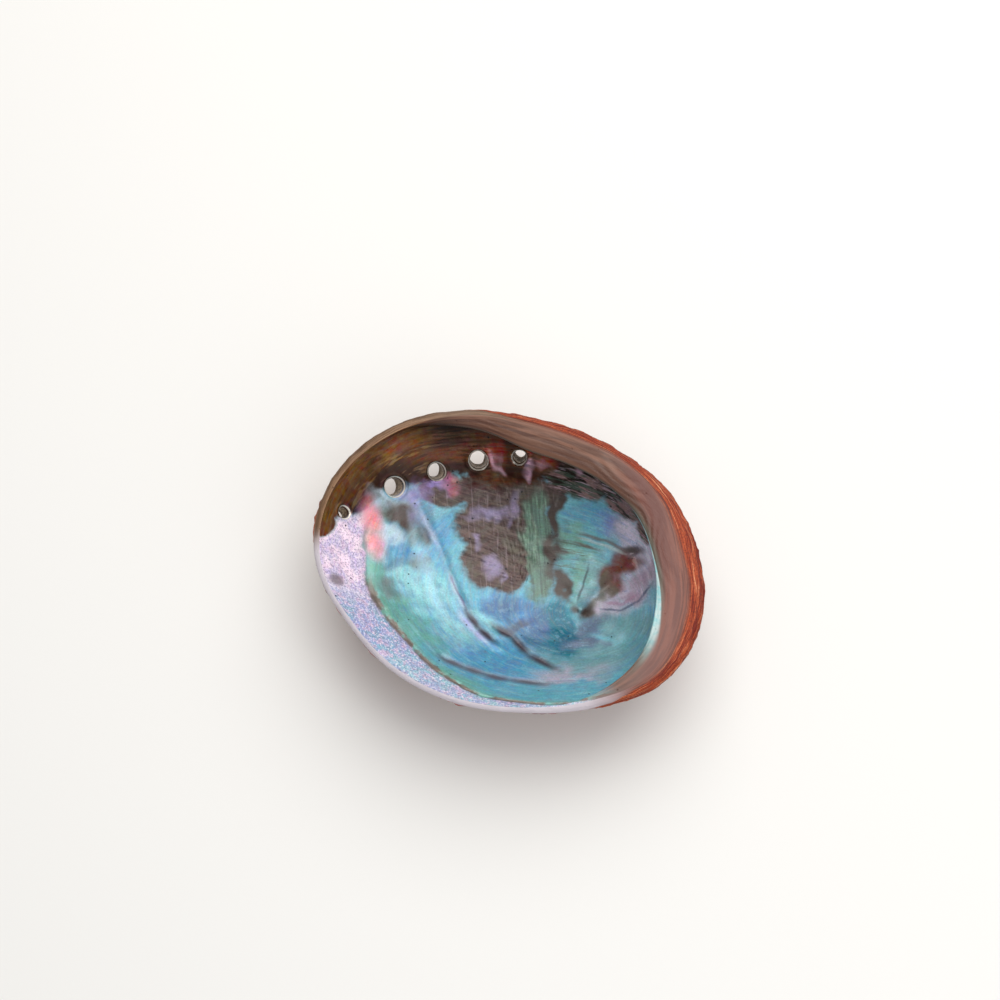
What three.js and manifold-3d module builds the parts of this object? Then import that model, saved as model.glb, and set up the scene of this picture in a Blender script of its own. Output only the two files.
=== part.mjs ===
// The empty shell of a red abalone, one solid, lying on its back with its open side up.
// Millimetres. +X points to the end where the spire is, +Z out of the open side, and the origin is
// under the middle of the shell, on the surface that it lies on.
//
// The shell is a shallow bowl worked out around a vertical line through its deepest place. A direction
// round that line is an angle, anticlockwise from +X, and a ring is a share of the way from the
// deepest place (0) to the edge (1). The lining and the outside are two such bowls, and a rounded edge
// joins them.
import * as THREE from "three";
import { mergeVertices } from "three/addons/utils/BufferGeometryUtils.js";
import Module from "manifold-3d";

// The deepest place, and the apex of the spire that the shell grew from.
const DEEPEST = new THREE.Vector2(7.2, 0.7);
const APEX = new THREE.Vector2(44, -18);

// The section of the shell in sixteen directions, from +X on, 22.5 degrees apart.
const CREST_REACH = [67, 65.5, 62.5, 60.5, 64, 74, 84.5, 92, 91.5, 82.5, 77.3, 73.3, 71.5, 74, 78.5, 73.5];
const CREST_HEIGHT = [46, 46.5, 47, 47, 46.5, 45.5, 44.5, 43.5, 43, 43.5, 44, 44, 44, 44, 44.5, 45];
const EDGE_WIDTH = [12, 8, 5.5, 5.5, 5, 4, 4.5, 3.5, 2.5, 2, 2, 2, 2, 3, 5.5, 10.5];
const EDGE_DROP = [9, 6, 4, 3, 3, 2.5, 2, 1.5, 1.5, 1.5, 1.5, 1.5, 1.5, 2.5, 5, 8];
const LEDGE_WIDTH = [14.5, 14.5, 14, 13.5, 13, 6, 0, 0, 0, 0, 0, 0, 0, 3, 11, 15];
// How the wall rises: 1 climbs to an upright wall, 2 is a parabola that stays open to the edge.
const WALL_SHAPE = [1.1, 1.05, 1.05, 1.05, 1.05, 1.1, 1.25, 1.5, 1.8, 2, 2.1, 2.1, 2.05, 1.9, 1.55, 1.25];

const FLOOR_THICKNESS = 4.6; // at the deepest place
const WORN_DEPTH = 1.5; // rubbed off the back, which leaves the flat that the shell rests on
const LEDGE_ROOT = 0.85; // the ring where the underside of the ledge leaves the wall
const HOLLOW = 0.7; // the share of the edge's width that the wall behind the ledge is hollowed by

// The row of breathing pores, from the newest on: direction, ring and bore.
const PORES = [
  { degrees: 163, ring: 0.72, bore: 5 },
  { degrees: 145, ring: 0.595, bore: 8.8 },
  { degrees: 128.5, ring: 0.565, bore: 7.6 },
  { degrees: 110.5, ring: 0.59, bore: 8.2 },
  { degrees: 92, ring: 0.635, bore: 6.2 },
];
const COLLAR_HEIGHT = 2; // how far the raised rim of a pore stands off the outside
const COLLAR_WALL = 2.2;

// The keel that carries the pores is a spiral about the apex: it passes through the last open pore at
// KEEL_START and widens by KEEL_GROWTH a radian.
const KEEL_START = { reach: 88, degrees: 117 };
const KEEL_GROWTH = 0.52;
const KEEL_TURN = 2.2; // radians of the spiral, each way from there, that the keel shows on
const KEEL_HEIGHT = 1.6;
const KEEL_HALF_WIDTH = 5;
const SPIRE_HEIGHT = 3;
const SPIRE_RADIUS = 13;

const DIRECTIONS = 80;
const LINING_RINGS = 21;
const EDGE_RINGS = 4;
const OUTSIDE_RINGS = 15;
const PORE_SIDES = 14;

// The value of a list of sections in any direction, on a smooth closed curve through its entries.
function around(sections, angle) {
  const count = sections.length;
  const place = (((angle / (2 * Math.PI)) * count) % count + count) % count;
  const i = Math.floor(place);
  const f = place - i;
  const [a, b, c, d] = [-1, 0, 1, 2].map((step) => sections[(i + step + count) % count]);
  return b + 0.5 * f * (c - a + f * (2 * a - 5 * b + 4 * c - d + f * (3 * (b - c) + d - a)));
}

// The point at a reach and height in a direction.
function point(angle, reach, height) {
  const x = DEEPEST.x + reach * Math.cos(angle);
  const y = DEEPEST.y + reach * Math.sin(angle);
  return new THREE.Vector3(x, y, height);
}

// How much of the way up its wall a ring stands.
function rise(angle, ring) {
  return 1 - Math.cos((ring * Math.PI) / 2) ** around(WALL_SHAPE, angle);
}

// The lining: a bowl whose wall, near the edge, swells inwards into the ledge.
function lining(angle, ring) {
  const { smoothstep, clamp } = THREE.MathUtils;
  const behindLedge = smoothstep(ring, 0.2, 0.7) * (1 - smoothstep(ring, 0.88, 1));
  const widened = around(CREST_REACH, angle) + HOLLOW * around(EDGE_WIDTH, angle) * behindLedge;
  const acrossLedge = clamp((ring - LEDGE_ROOT) / (1 - LEDGE_ROOT), 0, 1);
  const ledge = Math.max(around(LEDGE_WIDTH, angle), 0) * Math.sin(Math.PI * acrossLedge);
  const reach = widened * Math.sin((ring * Math.PI) / 2) - ledge;
  const climb = around(CREST_HEIGHT, angle) - FLOOR_THICKNESS;
  return point(angle, reach, FLOOR_THICKNESS + climb * rise(angle, ring));
}

// The rounded edge: a quarter of an ellipse from the widest line of the shell (0) to its crest (1).
function edge(angle, share) {
  const width = around(EDGE_WIDTH, angle) * Math.cos((share * Math.PI) / 2);
  const drop = around(EDGE_DROP, angle) * (1 - Math.sin((share * Math.PI) / 2));
  return point(angle, around(CREST_REACH, angle) + width, around(CREST_HEIGHT, angle) - drop);
}

// The ring of the outside that stands exactly at the height of the worn flat.
function flatRing(angle) {
  const height = around(CREST_HEIGHT, angle) - around(EDGE_DROP, angle);
  const left = (height / (height + WORN_DEPTH)) ** (1 / around(WALL_SHAPE, angle));
  return (Math.acos(left) * 2) / Math.PI;
}

// How far the keel and the spire stand off the outside at a place on the plan.
function relief(x, y) {
  const reach = Math.hypot(x - APEX.x, y - APEX.y);
  const start = THREE.MathUtils.degToRad(KEEL_START.degrees);
  const turn = Math.atan2(y - APEX.y, x - APEX.x) - start;
  const keelReach = KEEL_START.reach * Math.exp(KEEL_GROWTH * turn);
  const offKeel = (reach - keelReach) / KEEL_HALF_WIDTH;
  const keel = Math.abs(turn) < KEEL_TURN ? KEEL_HEIGHT * Math.exp(-offKeel * offKeel) : 0;
  return keel + SPIRE_HEIGHT * Math.exp(-((reach / SPIRE_RADIUS) ** 2));
}

// The outside: a bowl round the lining, worn flat at the bottom, with the keel and the spire on it.
function outside(angle, ring) {
  const height = around(CREST_HEIGHT, angle) - around(EDGE_DROP, angle) + WORN_DEPTH;
  const widest = around(CREST_REACH, angle) + around(EDGE_WIDTH, angle);
  const reach = widest * Math.sin((ring * Math.PI) / 2);
  const bare = point(angle, reach, Math.max(height * rise(angle, ring) - WORN_DEPTH, 0));
  const middle = new THREE.Vector3(DEEPEST.x, DEEPEST.y, around(CREST_HEIGHT, angle));
  const outwards = bare.clone().sub(middle).normalize();
  const fromFlat = THREE.MathUtils.smoothstep(ring, flatRing(angle), flatRing(angle) + 0.15);
  const toEdge = 1 - THREE.MathUtils.smoothstep(ring, 0.85, 0.98);
  return bare.addScaledVector(outwards, relief(bare.x, bare.y) * fromFlat * toEdge);
}

// One closed surface: rings from the deepest place of the lining, over the edge, to the worn flat.
function shellSurface() {
  const rings = [];
  for (let i = 1; i <= LINING_RINGS; i += 1) {
    rings.push((angle) => lining(angle, i / LINING_RINGS));
  }
  for (let i = 1; i <= EDGE_RINGS; i += 1) {
    rings.push((angle) => edge(angle, 1 - i / EDGE_RINGS));
  }
  for (let i = 1; i <= OUTSIDE_RINGS; i += 1) {
    rings.push((angle) => outside(angle, THREE.MathUtils.lerp(1, flatRing(angle), i / OUTSIDE_RINGS)));
  }

  const positions = [point(0, 0, FLOOR_THICKNESS)];
  for (const ring of rings) {
    for (let j = 0; j < DIRECTIONS; j += 1) {
      positions.push(ring((j / DIRECTIONS) * 2 * Math.PI));
    }
  }
  positions.push(point(0, 0, 0));

  const index = [];
  const at = (ring, j) => 1 + ring * DIRECTIONS + (j % DIRECTIONS);
  const last = rings.length - 1;
  for (let j = 0; j < DIRECTIONS; j += 1) {
    index.push(0, at(0, j), at(0, j + 1));
    for (let i = 0; i < last; i += 1) {
      index.push(at(i, j), at(i + 1, j), at(i + 1, j + 1));
      index.push(at(i, j), at(i + 1, j + 1), at(i, j + 1));
    }
    index.push(at(last, j), positions.length - 1, at(last, j + 1));
  }
  return new THREE.BufferGeometry().setFromPoints(positions).setIndex(index);
}

// Where a pore goes through: a point on the lining and the way out through the wall there.
function poreAxis({ degrees, ring }) {
  const angle = THREE.MathUtils.degToRad(degrees);
  const small = 0.01;
  const start = lining(angle, ring);
  const along = lining(angle + small, ring).sub(start);
  const up = lining(angle, ring + small).sub(start);
  return { start, out: along.cross(up).normalize() };
}

// A round bar or cone along a pore's axis, between two distances from the lining.
function alongPore(pore, from, to, innerRadius, outerRadius) {
  const { start, out } = poreAxis(pore);
  const bar = new THREE.CylinderGeometry(outerRadius, innerRadius, to - from, PORE_SIDES);
  bar.translate(0, (from + to) / 2, 0);
  const turn = new THREE.Quaternion().setFromUnitVectors(new THREE.Vector3(0, 1, 0), out);
  bar.applyQuaternion(turn);
  return bar.translate(start.x, start.y, start.z);
}

// The thickness of the wall at a pore: how far along its axis the nearest place of the outside is.
function wallAt(pore) {
  const { start, out } = poreAxis(pore);
  const angle = THREE.MathUtils.degToRad(pore.degrees);
  const steps = 300;
  let nearest = Infinity;
  let thickness = 0;
  for (let i = 0; i <= steps; i += 1) {
    const there = outside(angle, THREE.MathUtils.lerp(flatRing(angle), 1, i / steps)).sub(start);
    const miss = there.clone().cross(out).length();
    if (miss < nearest) {
      nearest = miss;
      thickness = there.dot(out);
    }
  }
  return thickness;
}

const wasm = await Module();
wasm.setup();

function toSolid(geometry) {
  const bare = geometry.clone();
  bare.deleteAttribute("normal");
  bare.deleteAttribute("uv");
  const merged = mergeVertices(bare, 1e-4);
  const vertProperties = merged.attributes.position.array;
  const triVerts = new Uint32Array(merged.index.array);
  return new wasm.Manifold(new wasm.Mesh({ numProp: 3, vertProperties, triVerts }));
}

function toGeometry(solid) {
  const { vertProperties, triVerts } = solid.getMesh();
  const geometry = new THREE.BufferGeometry();
  geometry.setAttribute("position", new THREE.BufferAttribute(vertProperties, 3));
  return geometry.setIndex(new THREE.BufferAttribute(triVerts, 1));
}

function buildShell() {
  let solid = toSolid(shellSurface());
  for (const pore of PORES) {
    const wall = wallAt(pore);
    const top = wall + COLLAR_HEIGHT;
    const radius = pore.bore / 2;
    const rim = radius + COLLAR_WALL * 0.5;
    const foot = radius + COLLAR_WALL * 1.5;
    solid = solid.add(toSolid(alongPore(pore, wall * 0.6, top, foot, rim)));
    solid = solid.subtract(toSolid(alongPore(pore, -wall, top + 1, radius, radius)));
  }
  return toGeometry(solid);
}

const nacre = new THREE.MeshStandardMaterial({ color: 0x7a9fb0, roughness: 0.3, metalness: 0.1 });
const shell = new THREE.Mesh(buildShell(), nacre);
shell.name = "shell";

const abalone = new THREE.Group();
abalone.add(shell);

export default abalone;
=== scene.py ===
"""An empty red abalone shell, lying on its back with its open side up. Blender 4.5, metres."""
import math

import bpy
import numpy as np
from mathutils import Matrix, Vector

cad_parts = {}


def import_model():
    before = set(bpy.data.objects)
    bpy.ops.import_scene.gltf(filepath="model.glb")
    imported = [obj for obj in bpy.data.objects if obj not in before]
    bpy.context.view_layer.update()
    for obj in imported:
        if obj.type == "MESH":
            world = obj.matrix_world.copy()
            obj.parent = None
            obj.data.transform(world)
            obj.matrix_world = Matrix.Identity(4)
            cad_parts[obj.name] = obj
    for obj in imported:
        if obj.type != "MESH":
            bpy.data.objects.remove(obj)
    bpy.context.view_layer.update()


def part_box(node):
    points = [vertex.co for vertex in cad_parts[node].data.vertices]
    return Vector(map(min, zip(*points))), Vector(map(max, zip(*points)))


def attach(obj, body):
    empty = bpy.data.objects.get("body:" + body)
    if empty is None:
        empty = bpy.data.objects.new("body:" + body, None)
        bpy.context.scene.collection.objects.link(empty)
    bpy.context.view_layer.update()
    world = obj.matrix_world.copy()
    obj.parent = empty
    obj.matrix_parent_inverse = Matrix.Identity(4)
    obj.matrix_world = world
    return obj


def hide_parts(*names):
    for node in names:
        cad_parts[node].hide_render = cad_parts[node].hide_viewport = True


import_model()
low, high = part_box("shell")

# ---------------------------------------------------------------------------------------------
# The shell's form. A snail built it outwards from a small spire, adding at the edge of the mouth:
# one shallow bowl, about 3 mm thick, whose wall turns in as a broad ledge on the far side.
# It is worked out in millimetres around a vertical line through its deepest place.

SHELL_LENGTH = 174.9
MM = (high.x - low.x) / SHELL_LENGTH
DEEPEST = (7.2, 0.7)
APEX = (44, -18)

# Sections of the wall in sixteen directions, anticlockwise from the spire end, 22.5 degrees apart.
CREST_REACH = [67, 65.5, 62.5, 60.5, 64, 74, 84.5, 92, 91.5, 82.5, 77.3, 73.3, 71.5, 74, 78.5, 73.5]
CREST_HEIGHT = [46, 46.5, 47, 47, 46.5, 45.5, 44.5, 43.5, 43, 43.5, 44, 44, 44, 44, 44.5, 45]
EDGE_WIDTH = [12, 8, 5.5, 5.5, 5, 4, 4.5, 3.5, 2.5, 2, 2, 2, 2, 3, 5.5, 10.5]
EDGE_DROP = [9, 6, 4, 3, 3, 2.5, 2, 1.5, 1.5, 1.5, 1.5, 1.5, 1.5, 2.5, 5, 8]
LEDGE_WIDTH = [14.5, 14.5, 14, 13.5, 13, 6, 0, 0, 0, 0, 0, 0, 0, 3, 11, 15]
WALL_SHAPE = [1.1, 1.05, 1.05, 1.05, 1.05, 1.1, 1.25, 1.5, 1.8, 2, 2.1, 2.1, 2.05, 1.9, 1.55, 1.25]
FLOOR_THICKNESS = 4.6
WORN_DEPTH = 1.5
LEDGE_ROOT = 0.85
HOLLOW = 0.7


def around(sections, angle):
    """The value of a list of sections at an angle: a Catmull-Rom cubic that closes on itself."""
    sections = np.asarray(sections, float)
    place = np.asarray(angle) / (2 * np.pi) * len(sections)
    i = np.floor(place).astype(int)
    f = place - i
    a, b, c, d = (sections[(i + step) % len(sections)] for step in (-1, 0, 1, 2))
    return b + 0.5 * f * (c - a + f * (2 * a - 5 * b + 4 * c - d + f * (3 * (b - c) + d - a)))


def smooth(start, end, value):
    """0 before start and 1 after end, with an S-shaped rise between: 3 t squared minus 2 t cubed."""
    t = np.clip((value - start) / (end - start), 0, 1)
    return t * t * (3 - 2 * t)


def bump(distance, width):
    """A bell, 1 at no distance: e to the minus square of distance over width."""
    return np.exp(-((distance / width) ** 2))


def waves(x, y, size, seed, count=14):
    """Unevenness of about one size, between about -2 and 2: the sum of plane waves that run in
    random directions, over the square root of half their number."""
    draw = np.random.default_rng(seed)
    total = np.zeros(np.broadcast(x, y).shape)
    for turn, phase, rate in zip(*draw.uniform((0, 0, 0.6), (2 * np.pi, 2 * np.pi, 1.6), (count, 3)).T):
        along = x * np.cos(turn) + y * np.sin(turn)
        total += np.sin(2 * np.pi * rate / size * along + phase)
    return total / math.sqrt(count / 2)


def rise(angle, ring):
    """The share of the wall's height at a ring: 1 minus a power of the cosine of a quarter turn."""
    return 1 - np.cos(np.clip(ring, 0, 1) * np.pi / 2) ** around(WALL_SHAPE, angle)


def place(angle, reach, height):
    """Cylindrical to rectangular coordinates about the deepest place."""
    x = DEEPEST[0] + reach * np.cos(angle)
    y = DEEPEST[1] + reach * np.sin(angle)
    return np.stack(np.broadcast_arrays(x, y, height), -1)


def bare_lining(angle, ring):
    """The lining, without its fine relief: reach times the sine of the ring, less the ledge, which is
    a half wave that leans in from the wall between its root and the crest."""
    behind_ledge = smooth(0.2, 0.7, ring) * (1 - smooth(0.88, 1, ring))
    widened = around(CREST_REACH, angle) + HOLLOW * around(EDGE_WIDTH, angle) * behind_ledge
    across = np.clip((ring - LEDGE_ROOT) / (1 - LEDGE_ROOT), 0, 1)
    ledge = np.maximum(around(LEDGE_WIDTH, angle), 0) * np.sin(np.pi * across)
    climb = around(CREST_HEIGHT, angle) - FLOOR_THICKNESS
    reach = widened * np.sin(ring * np.pi / 2) - ledge
    return place(angle, reach, FLOOR_THICKNESS + climb * rise(angle, ring))


def bare_edge(angle, share):
    """A quarter of an ellipse from the crest (share 0) out and down to the widest line (share 1)."""
    width = around(EDGE_WIDTH, angle) * np.sin(share * np.pi / 2)
    drop = around(EDGE_DROP, angle) * (1 - np.cos(share * np.pi / 2))
    return place(angle, around(CREST_REACH, angle) + width, around(CREST_HEIGHT, angle) - drop)


def bare_outside(angle, ring):
    """The outside, without relief: a bowl round the lining, cut off level where its back is worn."""
    height = around(CREST_HEIGHT, angle) - around(EDGE_DROP, angle) + WORN_DEPTH
    widest = around(CREST_REACH, angle) + around(EDGE_WIDTH, angle)
    level = np.maximum(height * rise(angle, ring) - WORN_DEPTH, 0)
    return place(angle, widest * np.sin(ring * np.pi / 2), level)


def flat_ring(angle):
    """The ring of the outside that stands exactly at the height of the worn flat."""
    height = around(CREST_HEIGHT, angle) - around(EDGE_DROP, angle)
    left = (height / (height + WORN_DEPTH)) ** (1 / around(WALL_SHAPE, angle))
    return np.arccos(left) * 2 / np.pi


# Growth: every earlier edge of the mouth is the present one shrunk towards the apex of the spire.
margin_angle = np.linspace(0, 2 * np.pi, 1441)
margin = bare_edge(margin_angle, np.ones_like(margin_angle))[:, :2] - APEX
margin_bearing = np.arctan2(margin[:, 1], margin[:, 0]) % (2 * np.pi)
margin_reach = np.hypot(margin[:, 0], margin[:, 1])
in_order = np.argsort(margin_bearing)


def growth(x, y):
    """How grown the shell was when it laid a place down: the place's distance from the apex, over
    the distance of the present edge on the same bearing."""
    bearing = np.arctan2(y - APEX[1], x - APEX[0])
    present = np.interp(bearing, margin_bearing[in_order], margin_reach[in_order], period=2 * np.pi)
    return np.hypot(x - APEX[0], y - APEX[1]) / present


KEEL_REACH = 88
KEEL_BEARING = math.radians(117)
KEEL_GROWTH = 0.52
KEEL_HEIGHT = 1.9
KEEL_HALF_WIDTH = 5
WHORL = 2 * np.pi * KEEL_GROWTH
SUTURE = 0.22
CORDS = 64


def whorl(x, y):
    """Which turn of the log spiral a place is on, counted from the keel: 0 on the keel, 1 on the
    same keel one turn further out. It jumps by 1 across one bearing, which whole cords don't show."""
    bearing = np.arctan2(y - APEX[1], x - APEX[0]) - KEEL_BEARING
    reach = np.maximum(np.hypot(x - APEX[0], y - APEX[1]), 0.5)
    return (np.log(reach / KEEL_REACH) - KEEL_GROWTH * bearing) / WHORL


def off_spiral(x, y, turn):
    """The distance from the nearest turn of the spiral that is a given share of a whorl from the keel."""
    part = whorl(x, y) - turn
    part = part - np.round(part)
    return np.hypot(x - APEX[0], y - APEX[1]) * WHORL * part / math.sqrt(1 + KEEL_GROWTH**2)


# The row of breathing pores, from the newest on: direction, ring and bore. All but the last few
# were sealed as the shell grew, and stand on the keel of the outside as low bumps.
PORES = [(163, 0.72, 5.0), (145, 0.595, 8.6), (128.5, 0.565, 7.4), (110.5, 0.59, 8.0), (92, 0.635, 6.0)]
SEALED_BEARINGS = [104, 91, 78, 65, 52, 38, 23, 7]


# Where the surface differs, as ellipses seen from above: x, y, half a length, half a width, turn.
SCAR = [
    (-8, 30, 17, 15, 0), (-10, 12, 12, 14, 20), (-1, 6, 10, 9, 0),
    (4, 24, 9, 22, 4), (-2, 44, 30, 8, -4), (-31, 43, 11, 7, -8),
]
FAR_WALL = [
    (-76, 38, 27, 13, 42), (-44, 60, 36, 16, 17), (0, 66, 42, 20, -2),
    (26, 58, 20, 12, -20), (-86, 18, 9, 7, 50),
]
# Dark ribbons under the ledge: partly fine striations, partly painted shadow cast by the ledge.
RIBBONS_AND_SHADE = [(34, 45, 17, 6, -16), (54, 34, 15, 5, -40), (63, 20, 7, 3, -62)]


def outside_of(ellipses, x, y):
    """How far out a place is from the nearest of some ellipses: 0 at its centre and 1 on its border."""
    far = np.full(np.shape(x), 9.0)
    for centre_x, centre_y, long, wide, degrees in ellipses:
        turn = math.radians(degrees)
        along = (x - centre_x) * math.cos(turn) + (y - centre_y) * math.sin(turn)
        aside = (y - centre_y) * math.cos(turn) - (x - centre_x) * math.sin(turn)
        far = np.minimum(far, np.hypot(along / long, aside / wide))
    return far


# The two folds of the pearl, and the narrow gullies beside and below them, as points along each.
MAIN_FOLD = [(-41, 36), (-38, 28), (-33, 19), (-28, 7), (-23, -6), (-19, -15), (-11, -26), (-2, -36)]
SECOND_FOLD = [(-43, 22), (-39, 10), (-35, -2), (-30, -14)]
GULLIES = [
    [(-19, -14), (-13, -23), (-7, -29)],
    [(-6, -21), (2, -26), (9, -36), (20, -44)],
    [(-30, -41), (-20, -46), (-11, -49), (0, -52), (16, -54)],
]


def off_route(x, y, stations):
    """The distance from a line through some points: the least of the distances from its stretches."""
    off = np.full(np.shape(x), 99.0)
    for (x0, y0), (x1, y1) in zip(stations, stations[1:]):
        length = math.hypot(x1 - x0, y1 - y0)
        way_x, way_y = (x1 - x0) / length, (y1 - y0) / length
        along = np.clip((x - x0) * way_x + (y - y0) * way_y, 0, length)
        off = np.minimum(off, np.hypot(x - x0 - along * way_x, y - y0 - along * way_y))
    return off


def past_groove(x, y):
    """How many millimetres further grown a place is than the groove where the thick pearl stops."""
    limit = np.interp(x, [-62, -45, -30, -16, 20, 60], [0.83, 0.815, 0.83, 0.87, 0.91, 0.95])
    return (growth(x, y) - limit - 0.02 * smooth(5, 20, y)) * 130


def lining_relief(x, y, ring):
    """The height of the pearl's folds, steps and scar above the bare lining, in millimetres."""
    below_ledge = 1 - smooth(0.78, 0.86, ring)
    relief = 0.22 * waves(x, y, 26, 1) + 0.07 * waves(x, y, 9, 2)
    # Two folds from the pores down to the near side, and the gullies.
    relief += 0.9 * bump(off_route(x, y, MAIN_FOLD), 2.2) * smooth(-40, -30, y)
    relief += 0.5 * bump(off_route(x, y, SECOND_FOLD), 2.4)
    for stations in GULLIES:
        relief -= 0.8 * bump(off_route(x, y, stations), 1.5)
    # The groove where the thick pearl stops, and the thin grainy lip beyond it.
    past = past_groove(x + 0.6 * waves(x, y, 9, 3), y)
    near_side = smooth(30, 10, y) * below_ledge
    relief += near_side * (0.3 * smooth(-1, 2, past) - 0.8 * bump(past, 1.5))
    # The scar of the muscle that held the animal: a rough, slightly raised island.
    scar = 1 - smooth(0.8, 1.1, outside_of(SCAR, x, y) + 0.08 * waves(x, y, 8, 4))
    relief += scar * (0.35 + 0.09 * waves(x, y, 4, 5) + 0.05 * waves(x * 3, y, 5, 6))
    # Ripples across the steep wall under the ledge.
    steep = smooth(0.42, 0.6, ring) * below_ledge * smooth(20, 40, x + y)
    relief += steep * 0.22 * np.sin(2 * np.pi * (ring * 34 + 0.5 * waves(x, y, 30, 7)))
    # The mouth of the spire: a pit, a ridge from (36, -9) to (56, 6) that curls round it, and a dent.
    relief -= 1.8 * bump(np.hypot(x - 34, y + 11), 2.6)
    along = np.clip(((x - 36) * 20 + (y + 9) * 15) / (20**2 + 15**2), 0, 1)
    relief += 1.1 * bump(np.hypot(x - 36 - 20 * along, y + 9 - 15 * along), 2.6)
    relief -= 1.2 * bump(np.hypot(x - 58, (y - 12) * 1.6), 2.2)
    return relief * smooth(0.0, 0.04, ring)


def ledge_share(angle):
    """1 where the ledge is at its full width and 0 where there is none."""
    return smooth(0.5, 7, around(LEDGE_WIDTH, angle))


def lining(angle, ring):
    """The bare lining with its relief pushed up, and fine bands along the ledge."""
    bare = bare_lining(angle, ring)
    x, y = bare[..., 0], bare[..., 1]
    lifted = lining_relief(x, y, ring) * (1 - smooth(0.86, 0.9, ring))
    on_ledge = smooth(0.93, 0.95, ring) * (1 - smooth(0.985, 1, ring)) * ledge_share(angle)
    lifted += on_ledge * 0.09 * np.sin(2 * np.pi * (ring * 60 + 0.4 * waves(x, y, 40, 8)))
    bare[..., 2] += lifted
    return bare


def edge(angle, share):
    """The bare edge with the ends of the growth sheets on it: fine steps that run along the edge,
    wander a little, and are chipped in places."""
    bare = bare_edge(angle, share)
    x, y = bare[..., 0], bare[..., 1]
    width = around(EDGE_WIDTH, angle)
    coarse = smooth(2, 7, width) * smooth(0.25, 0.5, share)
    steps = np.sin(2 * np.pi * (share * 0.35 * width + 0.35 * waves(x, y, 30, 9)))
    chips = waves(x, y, 11, 10) + 0.6 * waves(x, y, 3.5, 14)
    outwards = np.stack([np.cos(angle) + 0 * x, np.sin(angle) + 0 * x, 0.4 + 0 * x], -1)
    push = 0.30 * coarse * steps + (0.05 + 0.08 * coarse) * chips
    return bare + outwards * (push * smooth(0, 0.3, share))[..., None]


def outside(angle, ring):
    """The bare outside with growth rings, spiral cords, the keel and its sealed pores, and the spire,
    all pushed out from the middle of the mouth, and none on the worn flat."""
    bare = bare_outside(angle, ring)
    x, y = bare[..., 0], bare[..., 1]
    g = growth(x, y)
    turn = whorl(x, y)
    reach = np.hypot(x - APEX[0], y - APEX[1])
    drift = 0.5 * waves(x, y, 40, 11)
    relief = 0.35 * np.sin(2 * np.pi * (g * 11 + drift))
    relief += 0.30 * bump((g * 6.3 + 0.3 * drift) % 1 - 0.5, 0.12)
    relief += 0.16 * np.cos(2 * np.pi * CORDS * turn) * smooth(10, 40, reach)
    relief += 0.16 * waves(x, y, 5, 12) + 0.25 * waves(x, y, 17, 13)
    relief += KEEL_HEIGHT * bump(off_spiral(x, y, 0), KEEL_HALF_WIDTH) * smooth(4, 12, reach)
    relief -= 0.9 * bump(off_spiral(x, y, SUTURE), 1.3) * smooth(60, 25, reach)
    relief += 3.2 * bump(reach, 15) + 0.8 * bump(reach, 4)
    for bearing in SEALED_BEARINGS:
        turned = math.radians(bearing)
        out = KEEL_REACH * math.exp(KEEL_GROWTH * (turned - KEEL_BEARING))
        nearby = np.hypot(x - APEX[0] - out * math.cos(turned), y - APEX[1] - out * math.sin(turned))
        relief += 0.03 * out * bump(nearby, 1.2 + 0.04 * out)
    middle = np.stack([DEEPEST[0] + 0 * x, DEEPEST[1] + 0 * x, around(CREST_HEIGHT, angle) + 0 * x], -1)
    away = bare - middle
    away /= np.linalg.norm(away, axis=-1, keepdims=True)
    from_flat = smooth(0, 0.14, ring - flat_ring(angle))
    to_edge = 1 - smooth(0.93, 1, ring)
    moved = bare + away * (relief * from_flat * to_edge)[..., None]
    moved[..., 2] = np.maximum(moved[..., 2], 0)
    return moved


def surface(angle, section):
    """The whole skin by one number: 0 to 1 up the lining, 1 to 2 over the edge, 2 to 3 down the
    outside to the worn flat."""
    ring = 1 - (section - 2) * (1 - flat_ring(angle))
    past_crest, past_widest = (section > 1)[..., None], (section >= 2)[..., None]
    found = lining(angle, np.clip(section, 0, 1))
    found = np.where(past_crest, edge(angle, np.clip(section - 1, 0, 1)), found)
    return np.where(past_widest, outside(angle, np.clip(ring, 0, 1)), found)


# The net of points that the skin is made of: rows of equal section, and a column for each direction.
DIRECTIONS = 400
FIRST_RING = 0.012
LINING_ROWS = 84
LEDGE_ROWS = 35
EDGE_ROWS = 12
OUTSIDE_ROWS = 71
sections = np.concatenate([
    np.linspace(FIRST_RING, LEDGE_ROOT, LINING_ROWS),
    np.linspace(LEDGE_ROOT, 1, LEDGE_ROWS + 1)[1:],
    np.linspace(1, 2, EDGE_ROWS + 1)[1:],
    np.linspace(2, 3, OUTSIDE_ROWS + 1)[1:],
])
angles = np.arange(DIRECTIONS) * 2 * np.pi / DIRECTIONS
grid_angle, grid_section = np.meshgrid(angles, sections)
grid = surface(grid_angle, grid_section)


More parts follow.
